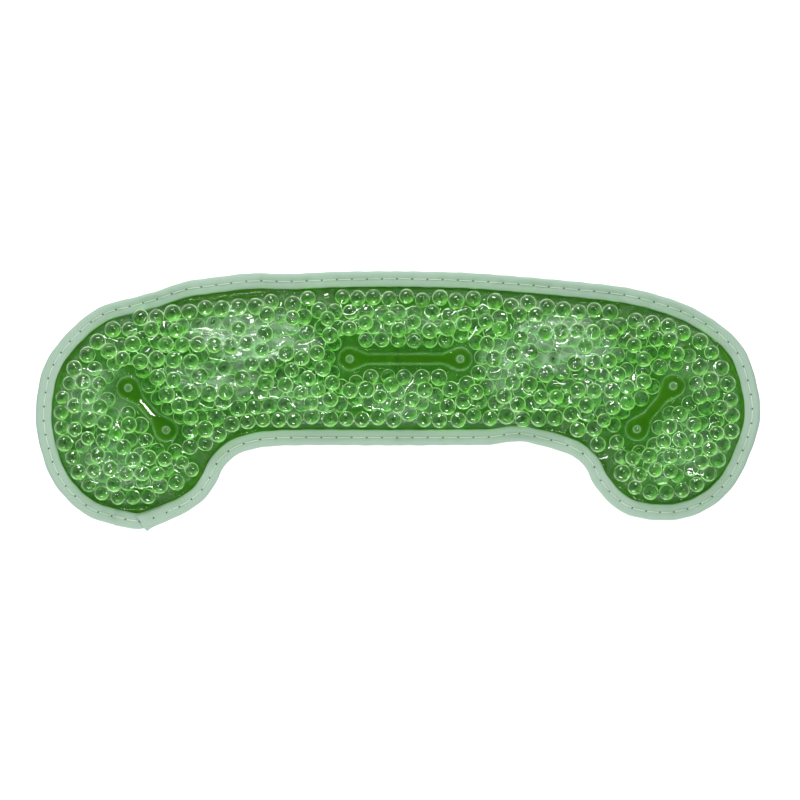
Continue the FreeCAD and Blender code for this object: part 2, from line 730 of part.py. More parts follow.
def settle(beads):
    """Lets the beads sink and pushes touching ones apart until they lie still."""
    pairs = []
    for turn in range(SETTLING_ROUNDS):
        if turn % PAIRING_INTERVAL == 0:
            pairs = neighbours(beads, PAIRING_REACH)
        sink = FIRST_SINK * (1 - turn / SETTLING_ROUNDS)
        for bead in beads:
            bead[2] -= sink
        for one, other in pairs:
            a, b = beads[one], beads[other]
            dx, dy, dz = b[0] - a[0], b[1] - a[1], b[2] - a[2]
            distance = math.sqrt(dx * dx + dy * dy + dz * dz) or 1e-9
            short = a[3] + b[3] + TOUCH - distance
            if short > 0:
                push = short / distance / 2
                a[0] -= dx * push
                a[1] -= dy * push
                a[2] -= dz * push
                b[0] += dx * push
                b[1] += dy * push
                b[2] += dz * push
        for bead in beads:
            keep_inside(bead)


def fit_radii(beads):
    """Trims each bead that is still pressed against its neighbours, as soft gel gives way."""
    for one, other in neighbours(beads, PAIRING_REACH):
        a, b = beads[one], beads[other]
        distance = math.dist(a[:3], b[:3])
        short = a[3] + b[3] + TOUCH - distance
        if short > 0:
            a[3] -= short / 2
            b[3] -= short / 2
    return [bead for bead in beads if bead[3] > LEAST_RADIUS]


beads = strewn_beads()
settle(beads)
beads = fit_radii(beads)
for zone in zones:
    spheres = []
    for x, y, z, radius, bead_zone in beads:
        if bead_zone == zone:
            spheres.append(Part.makeSphere(radius, Vector(x, y, z)))
    group = doc.addObject("Part::Feature", f"gel_beads_{zone}")
    group.Label = f"gel_beads_{zone}"
    group.Shape = Part.makeCompound(spheres)
    parts.append(group)
    print(group.Label, len(spheres), "beads")

# ---------------------------------------------------------------- checks and files

doc.recompute()
for item in doc.Objects:
    if "Invalid" in item.State or "Error" in item.State:
        raise RuntimeError(f"{item.Name} failed: {item.State}")
for piece in parts:
    if piece.Shape.isNull() or not piece.Shape.isValid() or not piece.Shape.Solids:
        raise RuntimeError(f"{piece.Label} has no valid solid")

os.makedirs("parts", exist_ok=True)
for piece in parts:
    piece.Shape.exportStep(os.path.join("parts", f"{piece.Label}.step"))
    box = piece.Shape.BoundBox
    print(f"{piece.Label}: {len(piece.Shape.Solids)} solids, {piece.Shape.Volume:.0f} mm3, "
          f"z {box.ZMin:.2f} to {box.ZMax:.2f}")
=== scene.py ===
"""Looks of a gel-bead eye pillow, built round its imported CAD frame. Metres, +Z up."""

import json
import math

import bmesh
import bpy
import numpy as np
from mathutils import Matrix, Vector

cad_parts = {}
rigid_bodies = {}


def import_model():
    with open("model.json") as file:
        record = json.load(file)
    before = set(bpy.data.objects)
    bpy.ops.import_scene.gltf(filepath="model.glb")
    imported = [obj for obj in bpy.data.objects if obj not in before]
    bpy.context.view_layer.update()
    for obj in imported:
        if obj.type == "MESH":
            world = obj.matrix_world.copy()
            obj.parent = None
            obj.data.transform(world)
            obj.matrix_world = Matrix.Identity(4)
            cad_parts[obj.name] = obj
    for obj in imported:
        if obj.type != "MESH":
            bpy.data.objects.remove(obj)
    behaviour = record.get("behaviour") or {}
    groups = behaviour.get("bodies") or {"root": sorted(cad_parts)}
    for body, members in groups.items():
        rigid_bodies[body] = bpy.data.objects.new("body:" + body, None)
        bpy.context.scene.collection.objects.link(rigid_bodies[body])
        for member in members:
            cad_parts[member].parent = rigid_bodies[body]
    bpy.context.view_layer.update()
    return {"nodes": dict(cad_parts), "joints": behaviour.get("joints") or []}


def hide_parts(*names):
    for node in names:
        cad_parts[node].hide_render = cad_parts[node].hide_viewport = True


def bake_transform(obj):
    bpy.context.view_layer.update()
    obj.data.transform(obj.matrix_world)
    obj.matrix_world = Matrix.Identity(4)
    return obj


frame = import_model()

# ------------------------------------------------------------ the cutting pattern
# Every layer of the pillow is cut to one outline. A long crown runs into a shoulder and a round lobe at
# each end, and the straight lower edge of the band turns into each lobe through a hollow corner.

MM = 0.001
LENGTH = 275 * MM
WIDTH = 97 * MM
CROWN_RADIUS = 592 * MM
CROWN = Vector((-2.6 * MM, WIDTH / 2 - CROWN_RADIUS))
LOWER_EDGE = -17.9 * MM
END_SIZES = {  # radii of the shoulder, the lobe and the hollow corner, and how far the lobe's foot is raised
    "left": (-1, 49.4 * MM, 36.8 * MM, 19.7 * MM, 0.0),
    "right": (1, 45.7 * MM, 33.2 * MM, 21.4 * MM, 2.2 * MM),
}
SIDES = {"left": -1, "right": 1}


def heading(start, end):
    return math.atan2(end.y - start.y, end.x - start.x)


def end_runs(side):
    """The shoulder, lobe and hollow corner of one end, as (centre, radius, first angle, last angle, hollow)."""
    sign, shoulder_radius, lobe_radius, corner_radius, raised = END_SIZES[side]
    x = sign * (LENGTH / 2 - shoulder_radius)
    reach = CROWN_RADIUS - shoulder_radius
    shoulder = Vector((x, CROWN.y + math.sqrt(reach**2 - (x - CROWN.x) ** 2)))
    y = raised - WIDTH / 2 + lobe_radius
    reach = shoulder_radius - lobe_radius
    lobe = Vector((x + sign * math.sqrt(reach**2 - (y - shoulder.y) ** 2), y))
    y = LOWER_EDGE - corner_radius
    reach = lobe_radius + corner_radius
    corner = Vector((lobe.x - sign * math.sqrt(reach**2 - (lobe.y - y) ** 2), y))
    turns = [heading(CROWN, shoulder), heading(shoulder, lobe), heading(lobe, corner)]
    for number in (1, 2):
        while sign * turns[number] > sign * turns[number - 1]:
            turns[number] -= sign * 2 * math.pi
    return [
        (shoulder, shoulder_radius, turns[0], turns[1], False),
        (lobe, lobe_radius, turns[1], turns[2], False),
        (corner, corner_radius, heading(corner, lobe), math.pi / 2, True),
    ]


RUNS = {side: end_runs(side) for side in SIDES}
CROWN_RUN = (CROWN, CROWN_RADIUS, RUNS["left"][0][2], RUNS["right"][0][2], False)


def inset_of(x, y):
    """How far inside the outline each point lies, and the direction inwards there."""
    best = np.full(x.shape, 1.0)
    inward = np.zeros(x.shape + (2,))

    def nearer(value, gx, gy, valid):
        chosen = valid & (np.abs(value) < np.abs(best))
        best[chosen] = value[chosen]
        inward[chosen, 0] = gx[chosen]
        inward[chosen, 1] = gy[chosen]

    for centre, radius, first, last, hollow in [CROWN_RUN] + RUNS["left"] + RUNS["right"]:
        dx, dy = x - centre.x, y - centre.y
        away = np.maximum(np.hypot(dx, dy), 1e-9)
        turned = np.mod((np.arctan2(dy, dx) - first) * np.sign(last - first), 2 * math.pi)
        sense = 1.0 if hollow else -1.0
        nearer(sense * (away - radius), sense * dx / away, sense * dy / away, turned <= abs(last - first))
    between = (x > RUNS["left"][2][0].x) & (x < RUNS["right"][2][0].x)
    nearer(y - LOWER_EDGE, np.zeros(x.shape), np.ones(x.shape), between)
    return best, inward


def half_path(side, step):
    """Points along one half of the outline from the crown to the lower edge, with the way inwards and the distance."""
    start = math.acos((0 - CROWN.x) / CROWN_RADIUS)
    points, inward = [], []
    for centre, radius, first, last, hollow in [(CROWN, CROWN_RADIUS, start, RUNS[side][0][2], False)] + RUNS[side]:
        count = max(2, round(abs(last - first) * radius / step))
        angles = np.linspace(first, last, count, endpoint=False)
        rays = np.stack([np.cos(angles), np.sin(angles)], axis=1)
        points.append(np.array(centre) + radius * rays)
        inward.append(rays if hollow else -rays)
    last_corner = RUNS[side][2][0].x
    xs = np.linspace(last_corner, 0.0, round(abs(last_corner) / step) + 1)
    points.append(np.stack([xs, np.full(xs.shape, LOWER_EDGE)], axis=1))
    inward.append(np.tile([0.0, 1.0], (len(xs), 1)))
    points, inward = np.concatenate(points), np.concatenate(inward)
    steps = np.linalg.norm(np.diff(points, axis=0), axis=1)
    return points, inward, np.concatenate([[0.0], np.cumsum(steps)])


EDGE_SWAYS = [  # where the sewn edge strays: place, half length along the edge and distance outwards, in mm
    (-101, 38, 9, -1.8), (-79, 45, 9, 1.2), (-56, 48, 11, 1.5), (46, -18, 8, -1.6), (58, -21, 7, 0.9),
    (104, 38, 9, -0.8), (137, -4, 12, 0.7), (-98, -48, 6, 1.2), (-68, 47, 8, 0.7), (-91, 41, 7, -0.6),
    (85, 42, 14, 0.6), (115, 33, 9, -0.6), (131, 18, 10, 1.1), (134, -21, 10, -0.7), (86, -43, 9, 1.0),
    (71, -25, 6, -0.7), (-72, -39, 9, 0.9), (-54, -19, 7, 0.8), (-136, -21, 10, -0.7), (-134, 13, 10, 0.8),
    (-117, -44, 8, 0.5),
]


def sway(x, y, inset, inward):
    """How far a point moves where the sewn edge strays from the pattern, fading out 12 mm in from the edge."""
    amount = np.zeros(x.shape)
    for edge_x, edge_y, reach, outward in EDGE_SWAYS:
        away = np.hypot(x - edge_x * MM, y - edge_y * MM)
        amount -= outward * MM * np.exp(-((away / (reach * MM)) ** 2))
    return inward * (amount * np.clip(1 - inset / (12 * MM), 0, 1))[:, None]


FOLDS = {}
for joint in frame["joints"]:
    side = joint["name"].split("_")[0]
    across = Vector((-joint["axis"][1], joint["axis"][0], 0.0))
    if across.x * SIDES[side] < 0:
        across.negate()
    FOLDS[side] = {
        "bodies": (joint["parent"], joint["child"]),
        "middle": Vector(joint["pos_m"]),
        "across": across,
        "along": math.atan2(joint["axis"][1], joint["axis"][0]),
    }


def bend(piece):
    """Bakes the piece's placement into its mesh."""
    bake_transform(piece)


DISC_RADIUS = 3.9 * MM
BAR_HALF = 1.5 * MM
TAPER = math.radians(25)
WELDS = [  # middle, direction and distance between the two discs
    (Vector((3 * MM, 15 * MM)), 0.0, 42 * MM),
    (FOLDS["left"]["middle"].xy, FOLDS["left"]["along"], 21.5 * MM),
    (FOLDS["right"]["middle"].xy, FOLDS["right"]["along"], 21.5 * MM),
]


def weld_gap(x, y):
    """Distance to the nearest weld, negative inside it, and distance to the nearest disc's middle."""
    gap, to_disc = np.full(x.shape, 1.0), np.full(x.shape, 1.0)
    for middle, angle, span in WELDS:
        u = (x - middle.x) * math.cos(angle) + (y - middle.y) * math.sin(angle)
        v = -(x - middle.x) * math.sin(angle) + (y - middle.y) * math.cos(angle)
        disc = np.hypot(np.abs(u) - span / 2, v)
        taper_half = BAR_HALF + np.maximum(0, np.abs(u) - span / 2 + DISC_RADIUS + 2.5 * MM) * math.tan(TAPER)
        bar = np.where(np.abs(u) < span / 2, np.abs(v) - np.minimum(taper_half, DISC_RADIUS * 0.8), 1.0)
        gap = np.minimum(gap, np.minimum(disc - DISC_RADIUS, bar))
        to_disc = np.minimum(to_disc, disc)
    return gap, to_disc


def smoothstep(low, high, value):
    t = np.clip((value - low) / (high - low), 0, 1)
    return t * t * (3 - 2 * t)


def linear(hex_colour):
    channels = [int(hex_colour[i : i + 2], 16) / 255 for i in (1, 3, 5)]
    return [c / 12.92 if c <= 0.04045 else ((c + 0.055) / 1.055) ** 2.4 for c in channels] + [1.0]


def add_node(tree, kind, inputs=None, **settings):
    node = tree.nodes.new(kind)
    for name, value in settings.items():
        setattr(node, name, value)
    for name, value in (inputs or {}).items():
        if isinstance(value, bpy.types.NodeSocket):
            tree.links.new(value, node.inputs[name])
        else:
            node.inputs[name].default_value = value
    return node


def new_material(name):
    material = bpy.data.materials.new(name)
    material.use_nodes = True
    material.node_tree.nodes.clear()
    return material, material.node_tree


def math_node(tree, operation, *values):
    return add_node(tree, "ShaderNodeMath", dict(enumerate(values)), operation=operation).outputs[0]


def output(tree, surface):
    add_node(tree, "ShaderNodeOutputMaterial", {"Surface": surface})


def as_object(mesh, material, smooth=True):
    mesh.materials.append(material)
    if smooth:
        mesh.shade_smooth()
    piece = bpy.data.objects.new(mesh.name, mesh)
    bpy.context.scene.collection.objects.link(piece)
    return piece


def lattice(name, columns, rows):
    """A flat grid mesh, and the column and row of each of its vertices."""
    bm = bmesh.new()
    bmesh.ops.create_grid(bm, x_segments=columns, y_segments=rows, size=1.0)
    mesh = bpy.data.meshes.new(name)
    bm.to_mesh(mesh)
    bm.free()
    unit = np.zeros(len(mesh.vertices) * 3, np.float32)
    mesh.vertices.foreach_get("co", unit)
    unit = unit.reshape(-1, 3)
    column = np.rint((unit[:, 0] + 1) / 2 * columns).astype(int)
    row = np.rint((unit[:, 1] + 1) / 2 * rows).astype(int)
    return mesh, column, row


def cut_sheet(name, side, step, edge, height, slope=None, facing=1):
    """One half of a layer, cut to the outline at an inset and laid at height(x, y)."""
    columns, rows = math.ceil(LENGTH / 2 / step), math.ceil(WIDTH / 2 / step)
    mesh, column, row = lattice(name, columns, 2 * rows)
    x = (column - (columns if side == "left" else 0)) * step
    y = (row - rows) * step
    inset, inward = inset_of(x, y)
    rim = (inset < edge + 0.6 * step) & (inset >= edge)
    x = np.where(rim, x + (edge - inset) * inward[:, 0], x)
    y = np.where(rim, y + (edge - inset) * inward[:, 1], y)
    place = np.stack([x, y, height(x, y)], axis=1)
    place[:, :2] += sway(x, y, inset, inward)
    mesh.vertices.foreach_set("co", place.astype(np.float32).ravel())
    if slope is not None:
        normals = mesh.attributes.new("rest_normal", "FLOAT_VECTOR", "POINT")
        normals.data.foreach_set("vector", slope(x, y).astype(np.float32).ravel())
    bm = bmesh.new()
    bm.from_mesh(mesh)
    bm.verts.ensure_lookup_table()
    bmesh.ops.delete(bm, geom=[bm.verts[i] for i in np.nonzero(inset < edge)[0]], context="VERTS")
    bmesh.ops.delete(bm, geom=[v for v in bm.verts if not v.link_faces], context="VERTS")
    if facing < 0:
        bmesh.ops.reverse_faces(bm, faces=bm.faces[:])
    bm.to_mesh(mesh)
    bm.free()
    if slope is not None:
        mesh.shade_smooth()
        normals = np.zeros(len(mesh.vertices) * 3, np.float32)
        mesh.attributes["rest_normal"].data.foreach_get("vector", normals)
        mesh.normals_split_custom_set_from_vertices((facing * normals.reshape(-1, 3)).tolist())
        mesh.attributes.remove(mesh.attributes["rest_normal"])
    return mesh


# ------------------------------------------------------------ gel beads
# About five hundred clear green gel beads, swollen to some 6 mm, loose in the pouch where the CAD frame
# has them. They are soft, so each is a little out of round.

rng = np.random.default_rng(7)
beads = []
for zone in ("left", "centre", "right"):
    bm = bmesh.new()
    bm.from_mesh(frame["nodes"][f"gel_beads_{zone}"].data)
    bmesh.ops.remove_doubles(bm, verts=bm.verts, dist=1e-6)
    seen = set()
    for first in bm.verts:
        if first in seen:
            continue
        seen.add(first)
        island, queue = [], [first]
        while queue:
            vert = queue.pop()
            island.append(vert.co)
            for edge in vert.link_edges:
                other = edge.other_vert(vert)
                if other not in seen:
                    seen.add(other)
                    queue.append(other)
        low = Vector([min(co[k] for co in island) for k in range(3)])
        high = Vector([max(co[k] for co in island) for k in range(3)])
        beads.append(((low + high) / 2, (high.x - low.x) / 2))
    bm.free()

place = np.array([centre for centre, _ in beads])
size = 1.05 * np.array([radius for _, radius in beads])  # soft beads press closer together than the rigid ones
for fold in FOLDS.values():  # the CAD groove over each fold has no beads, and the limp pouch has no groove
    from_fold = (place - np.array(fold["middle"])) @ np.array(fold["across"])
    place -= np.outer(2.4 * MM * np.sign(from_fold) * np.exp(-((from_fold / (7 * MM)) ** 2)), fold["across"])
inset, inward = inset_of(place[:, 0], place[:, 1])
place[:, :2] -= inward * (1.6 * MM * np.exp(-(((inset - 10 * MM) / (6 * MM)) ** 2)))[:, None]
wall_gap = (7.0 + rng.uniform(0, 1.3, len(size)) ** 2) * MM
weld_room = rng.uniform(0.2, 0.9, len(size)) * MM
for _ in range(70):
    between = place[:, None] - place[None]
    away = np.linalg.norm(between, axis=2) + np.eye(len(size))
    push = np.clip(1.0 * (size[:, None] + size[None]) - away, 0, None) / away * 0.3
    np.fill_diagonal(push, 0)
    place += (between * push[:, :, None]).sum(1)
    inset, inward = inset_of(place[:, 0], place[:, 1])
    place[:, :2] += inward * np.clip(wall_gap + 0.9 * size - inset, 0, None)[:, None]
    here = weld_gap(place[:, 0], place[:, 1])[0]
    probe = 0.2 * MM
    slope = np.stack([
        weld_gap(place[:, 0] + probe, place[:, 1])[0] - here, weld_gap(place[:, 0], place[:, 1] + probe)[0] - here
    ], axis=1) / probe
    place[:, :2] += slope * np.clip(weld_room + 0.95 * size - here, 0, None)[:, None]
    place[:, 2] = np.clip(place[:, 2], 1.3 * MM + size, 12.2 * MM - size)
beads = [(Vector(centre), float(radius)) for centre, radius in zip(place, size)]

bead_gel, tree = new_material("swollen_green_gel_wet")
coordinates = add_node(tree, "ShaderNodeTexCoord")
normal = add_node(tree, "ShaderNodeSeparateXYZ", {0: coordinates.outputs["Normal"]})
steep = math_node(tree, "ABSOLUTE", normal.outputs["Z"])
patches = add_node(tree, "ShaderNodeTexNoise", {
    "Vector": coordinates.outputs["Object"], "Scale": 1 / (2.6 * MM), "Detail": 1.0,
}).outputs[0]
uneven = add_node(tree, "ShaderNodeMapRange", {0: patches, 1: 0.40, 2: 0.60, 3: 0.25, 4: 1.0}).outputs[0]
# Painted highlight: a pale band round each bead's equator, picked out by its object-space normal. It stands in for the
# bright edge the bead shows by refraction.
painted_rim_highlight = math_node(tree, "MULTIPLY", uneven, add_node(
    tree, "ShaderNodeMapRange", {0: steep, 1: 0.46, 2: 0.18, 3: 0.0, 4: 1.0}).outputs[0])
gel_glass = add_node(tree, "ShaderNodeBsdfPrincipled", {
    "Base Color": linear("#9ac96c"), "Roughness": 0.02, "IOR": 1.30, "Transmission Weight": 1.0,
})
lit_through = add_node(tree, "ShaderNodeBsdfTranslucent", {"Color": linear("#bcf698")})
# Painted light: the side of each bead facing -Y, and a little +X, away from the upper lamp, gets more translucent
# glow. This is a painted caustic pool where the bead would focus the light.
lean = math_node(tree, "MULTIPLY_ADD", normal.outputs["X"], 0.45, math_node(tree, "MULTIPLY", normal.outputs["Y"], -0.9))
painted_caustic_pool = add_node(tree, "ShaderNodeMapRange", {0: lean, 1: -0.25, 2: 0.75, 3: 0.06, 4: 0.92}).outputs[0]
painted_caustic_amount = math_node(tree, "MULTIPLY", painted_caustic_pool, uneven)
gel_inside = add_node(tree, "ShaderNodeMixShader", {0: painted_caustic_amount, 1: gel_glass.outputs[0], 2: lit_through.outputs[0]})
# Pale cloudy shaders that carry the painted rim highlight.
rim_highlight_matt = add_node(tree, "ShaderNodeBsdfDiffuse", {"Color": linear("#ecf8e8")})
rim_highlight_through = add_node(tree, "ShaderNodeBsdfTranslucent", {"Color": linear("#dcecd8")})
rim_highlight_shader = add_node(tree, "ShaderNodeMixShader", {0: 0.3, 1: rim_highlight_matt.outputs[0], 2: rim_highlight_through.outputs[0]})
gel_body = add_node(tree, "ShaderNodeMixShader", {0: painted_rim_highlight, 1: gel_inside.outputs[0], 2: rim_highlight_shader.outputs[0]})
see_through = add_node(tree, "ShaderNodeBsdfTransparent", {"Color": linear("#c4e2aa")})
light_path = add_node(tree, "ShaderNodeLightPath")
mixed = add_node(tree, "ShaderNodeMixShader", {
    0: light_path.outputs["Is Shadow Ray"], 1: gel_body.outputs[0], 2: see_through.outputs[0],
})
output(tree, mixed.outputs[0])

for side, sign in SIDES.items():
    bm = bmesh.new()
    for centre, radius in beads:
        if (centre.x < 0) != (sign < 0):
            continue
        stretch = radius * (1 + rng.uniform(-0.03, 0.03, 3))
        stretch[2] = radius * 0.985
        turn = Matrix.Rotation(rng.uniform(0, 2 * math.pi), 4, "Z")
        bmesh.ops.create_uvsphere(
            bm, u_segments=12, v_segments=6, radius=1.0,
            matrix=Matrix.Translation(centre) @ turn @ Matrix.Diagonal((*stretch, 1.0)),
        )
    mesh = bpy.data.meshes.new(f"beads_{side}_side")
    bm.to_mesh(mesh)
    bm.free()
    piece = as_object(mesh, bead_gel)
    bend(piece)
    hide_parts("gel_beads_centre", f"gel_beads_{side}")

# ------------------------------------------------------------ front film
# One sheet of clear green soft vinyl, welded to the back film along the edge and at three dumbbell tacks.
# It is drawn tight over the beads: it clings where they are wet and bridges them, puckered, where they are dry.

FILM_STEP = 0.4 * MM
FILM_EDGE = 1.6 * MM
SEAL_INSET = 6.6 * MM
SEAL_HEIGHT = 1.95 * MM
WELD_HEIGHT = 1.15 * MM
DRY_PLACES = [  # middle, half width, half height and strength of each place where the film bridges dry beads
    (-58, 24, 25, 11, 1.0), (-70, 8, 20, 8, 0.5), (62, 20, 24, 12, 0.9), (40, 12, 10, 14, 0.6),
    (4, -1, 14, 9, 0.35), (-112, 2, 16, 12, 0.5), (-108, -25, 16, 12, 0.45), (108, -18, 14, 16, 0.3),
    (112, 8, 12, 8, 0.35), (0, 28, 20, 6, 0.25), (-40, 0, 14, 8, 0.3), (78, 4, 16, 10, 0.3),
]

half_columns, half_rows = math.ceil(LENGTH / 2 / FILM_STEP), math.ceil(WIDTH / 2 / FILM_STEP)
grid_x, grid_y = np.meshgrid(
    np.arange(-half_columns, half_columns + 1) * FILM_STEP, np.arange(-half_rows, half_rows + 1) * FILM_STEP
)
grid_inset = inset_of(grid_x, grid_y)[0]


def soft_noise(seed, long, short):
    """Smooth noise over the film's grid, long along the pillow and short across it, from -1 to 1."""
    spectrum = np.fft.rfft2(np.random.default_rng(seed).normal(size=grid_x.shape))
    fy = np.fft.fftfreq(grid_x.shape[0], FILM_STEP)[:, None]
    fx = np.fft.rfftfreq(grid_x.shape[1], FILM_STEP)[None, :]
    spectrum *= np.exp(-2 * (math.pi**2) * ((fx * long) ** 2 + (fy * short) ** 2))
    field = np.fft.irfft2(spectrum, s=grid_x.shape)
    return field / np.abs(field).max()


dryness = np.zeros(grid_x.shape)
for x, y, half_width, half_height, strength in DRY_PLACES:
    away = np.hypot((grid_x - x * MM) / (half_width * MM), (grid_y - y * MM) / (half_height * MM))
    dryness = np.maximum(dryness, strength * smoothstep(1.15, 0.55, away + 0.35 * soft_noise(3, 4 * MM, 3 * MM)))

bead_tops = np.full(grid_x.shape, 1.6 * MM)
for centre, radius in beads:
    reach = radius + 0.12 * MM
    columns = slice(*(int(round((centre.x + s * reach) / FILM_STEP)) + half_columns + (s > 0) for s in (-1, 1)))
    rows = slice(*(int(round((centre.y + s * reach) / FILM_STEP)) + half_rows + (s > 0) for s in (-1, 1)))
    away = (grid_x[rows, columns] - centre.x) ** 2 + (grid_y[rows, columns] - centre.y) ** 2
    cap = centre.z + np.sqrt(np.maximum(reach**2 - away, 0))
    bead_tops[rows, columns] = np.maximum(bead_tops[rows, columns], np.where(away < reach**2, cap, 0))

weld, disc = weld_gap(grid_x, grid_y)
pinned = (grid_inset < SEAL_INSET) | (weld < 0)
pinned_height = np.where(grid_inset < SEAL_INSET, SEAL_HEIGHT, WELD_HEIGHT)
film = np.where(pinned, pinned_height, np.maximum(bead_tops, 5 * MM))
pull = (0.020 - 0.015 * dryness) * MM
for _ in range(240):
    mean = 0.25 * (np.roll(film, 1, 0) + np.roll(film, -1, 0) + np.roll(film, 1, 1) + np.roll(film, -1, 1))
    film = np.where(pinned, pinned_height, np.maximum(mean - pull, bead_tops))

lifted = smoothstep(0.03 * MM, 0.40 * MM, film - bead_tops)
leaving = smoothstep(0, 0.12 * MM, film - bead_tops)
meniscus = 4 * leaving * (1 - leaving)
free = smoothstep(0, 2.5 * MM, weld) * smoothstep(SEAL_INSET, SEAL_INSET + 2 * MM, grid_inset)
ridge_rng = np.random.default_rng(23)
waver = np.rint(soft_noise(10, 5 * MM, 3 * MM) * 2.4 * MM / FILM_STEP).astype(int)
rows_of, columns_of = np.indices(film.shape)
creases = soft_noise(11, 8 * MM, 0.55 * MM)[np.clip(rows_of + waver, 0, 2 * half_rows), columns_of]
bridging = free * smoothstep(0.3, 0.8, dryness)
film += bridging * 1.1 * MM * np.maximum(creases, 0)
ridges = np.zeros(film.shape)
across = np.linalg.norm(place[:, None, :2] - place[None, :, :2], axis=2)
close = np.triu((across < 1.5 * (size[:, None] + size[None])) & (across > 2 * MM), 1)
high = place[:, 2] + size > 7.5 * MM
for first, second in np.argwhere(close & high[:, None] & high[None]):
    start, end = place[first, :2], place[second, :2]
    level = abs(end[0] - start[0]) / across[first, second]
    if ridge_rng.random() > 0.10 + 0.90 * level**3:
        continue
    middle, half = (start + end) / 2, np.abs(end - start) / 2 + 1.5 * MM
    columns = slice(*(int((middle[0] + k * half[0]) / FILM_STEP) + half_columns for k in (-1, 1)))
    rows = slice(*(int((middle[1] + k * half[1]) / FILM_STEP) + half_rows for k in (-1, 1)))
    dx, dy = grid_x[rows, columns] - start[0], grid_y[rows, columns] - start[1]
    run = (end - start) / across[first, second]
    t = np.clip((dx * run[0] + dy * run[1]) / across[first, second], -0.15, 1.15)
    bow = ridge_rng.uniform(-0.5, 0.5) * MM * np.sin(np.clip(t, 0, 1) * math.pi)
    off = np.hypot(dx - t * across[first, second] * run[0] + bow * run[1],
                   dy - t * across[first, second] * run[1] - bow * run[0])
    line = ridge_rng.uniform(0.4, 1.0) * np.exp(-((off / (0.30 * MM)) ** 2))
    ridges[rows, columns] = np.maximum(ridges[rows, columns], line)
tight = free * smoothstep(0.10, 0.50, dryness)
film += tight * 0.50 * MM * ridges
film += free * 0.10 * MM * soft_noise(12, 1.6 * MM, 1.6 * MM)
fold = FOLDS["left"]  # the left weld's bar lies a little tilted, so it catches the light
tilt = (grid_x - fold["middle"].x) * -math.sin(fold["along"]) + (grid_y - fold["middle"].y) * math.cos(fold["along"])
strip = np.abs(tilt - 0.25 * MM) + 0.5 * MM * soft_noise(14, 0.5 * MM, 0.5 * MM) < 0.85 * MM
film -= (strip & (disc > 6.2 * MM) & (weld < 0)) * 0.25 * tilt
dimple = np.clip(1 - disc / (1.5 * MM), 0, 1) * (weld < 0)
film += 0.5 * MM * np.sin(dimple * math.pi / 2)
# The haze field holds the film's milkiness where it bridges dry beads, together with painted highlights: pale meniscus
# rings, streaks on crease tops and lines along the ridges.
haze_and_painted_highlights = lifted * free * 0.36 * dryness * (0.8 + 0.9 * soft_noise(5, 1.2 * MM, 0.8 * MM))
# Painted highlights: a pale ring where the film leaves each bead, and pale streaks along the crease tops.
haze_and_painted_highlights += free * meniscus * (0.14 + 0.30 * dryness) + bridging * lifted * 0.6 * smoothstep(0.35, 0.60, creases)
# Painted highlight: pale lines along the ridges drawn tight between dry beads.
haze_and_painted_highlights += tight * 0.40 * ridges**2
haze_and_painted_highlights += 0.015 * smoothstep(0, 0.4 * MM, weld) + 0.40 * np.exp(-(((weld - 0.45 * MM) / (0.28 * MM)) ** 2))
haze_and_painted_highlights += (weld < 0) * (0.20 * smoothstep(0, 0.15, dimple) + 0.45 * np.exp(-(((disc - 1.4 * MM) / (0.3 * MM)) ** 2)))
haze_and_painted_highlights = np.clip(haze_and_painted_highlights, 0, 1)
slope_y, slope_x = np.gradient(film, FILM_STEP)


def sample(field, x, y):
    """The value of one of the film's grids at each point."""
    u = np.clip(x / FILM_STEP + half_columns, 0, 2 * half_columns - 1e-6)
    v = np.clip(y / FILM_STEP + half_rows, 0, 2 * half_rows - 1e-6)
    i, j = np.floor(u).astype(int), np.floor(v).astype(int)
    s, t = u - i, v - j
    near = field[j, i] * (1 - s) + field[j, i + 1] * s
    far = field[j + 1, i] * (1 - s) + field[j + 1, i + 1] * s
    return near * (1 - t) + far * t


def film_normal(x, y):
    normal = np.stack([-sample(slope_x, x, y), -sample(slope_y, x, y), np.ones(x.shape)], axis=1)
    return normal / np.linalg.norm(normal, axis=1, keepdims=True)


clear_vinyl, tree = new_material("green_soft_vinyl_gloss")
# The pale milky shaders draw both the film's haze and the highlights painted into the haze field.
haze_and_highlight_amount = add_node(tree, "ShaderNodeAttribute", attribute_name="haze_and_painted_highlights").outputs["Fac"]
clear = add_node(tree, "ShaderNodeBsdfTransparent", {"Color": linear("#ebf6e0")})
milky_and_highlight_matt = add_node(tree, "ShaderNodeBsdfDiffuse", {"Color": linear("#bfe4c0")})
milky_and_highlight_through = add_node(tree, "ShaderNodeBsdfTranslucent", {"Color": linear("#b4d4b4")})
milk_and_painted_highlight = add_node(tree, "ShaderNodeMixShader", {0: 0.35, 1: milky_and_highlight_matt.outputs[0], 2: milky_and_highlight_through.outputs[0]})
body = add_node(tree, "ShaderNodeMixShader", {0: haze_and_highlight_amount, 1: clear.outputs[0], 2: milk_and_painted_highlight.outputs[0]})
gloss = add_node(tree, "ShaderNodeBsdfAnisotropic", {"Color": (1, 1, 1, 1), "Roughness": 0.07})
facing = add_node(tree, "ShaderNodeNewGeometry").outputs["Backfacing"]
fresnel = add_node(tree, "ShaderNodeFresnel", {"IOR": 1.5}).outputs[0]
shine = math_node(tree, "MULTIPLY", fresnel, math_node(tree, "SUBTRACT", 1.0, facing))
vinyl = add_node(tree, "ShaderNodeMixShader", {0: shine, 1: body.outputs[0], 2: gloss.outputs[0]})
output(tree, vinyl.outputs[0])

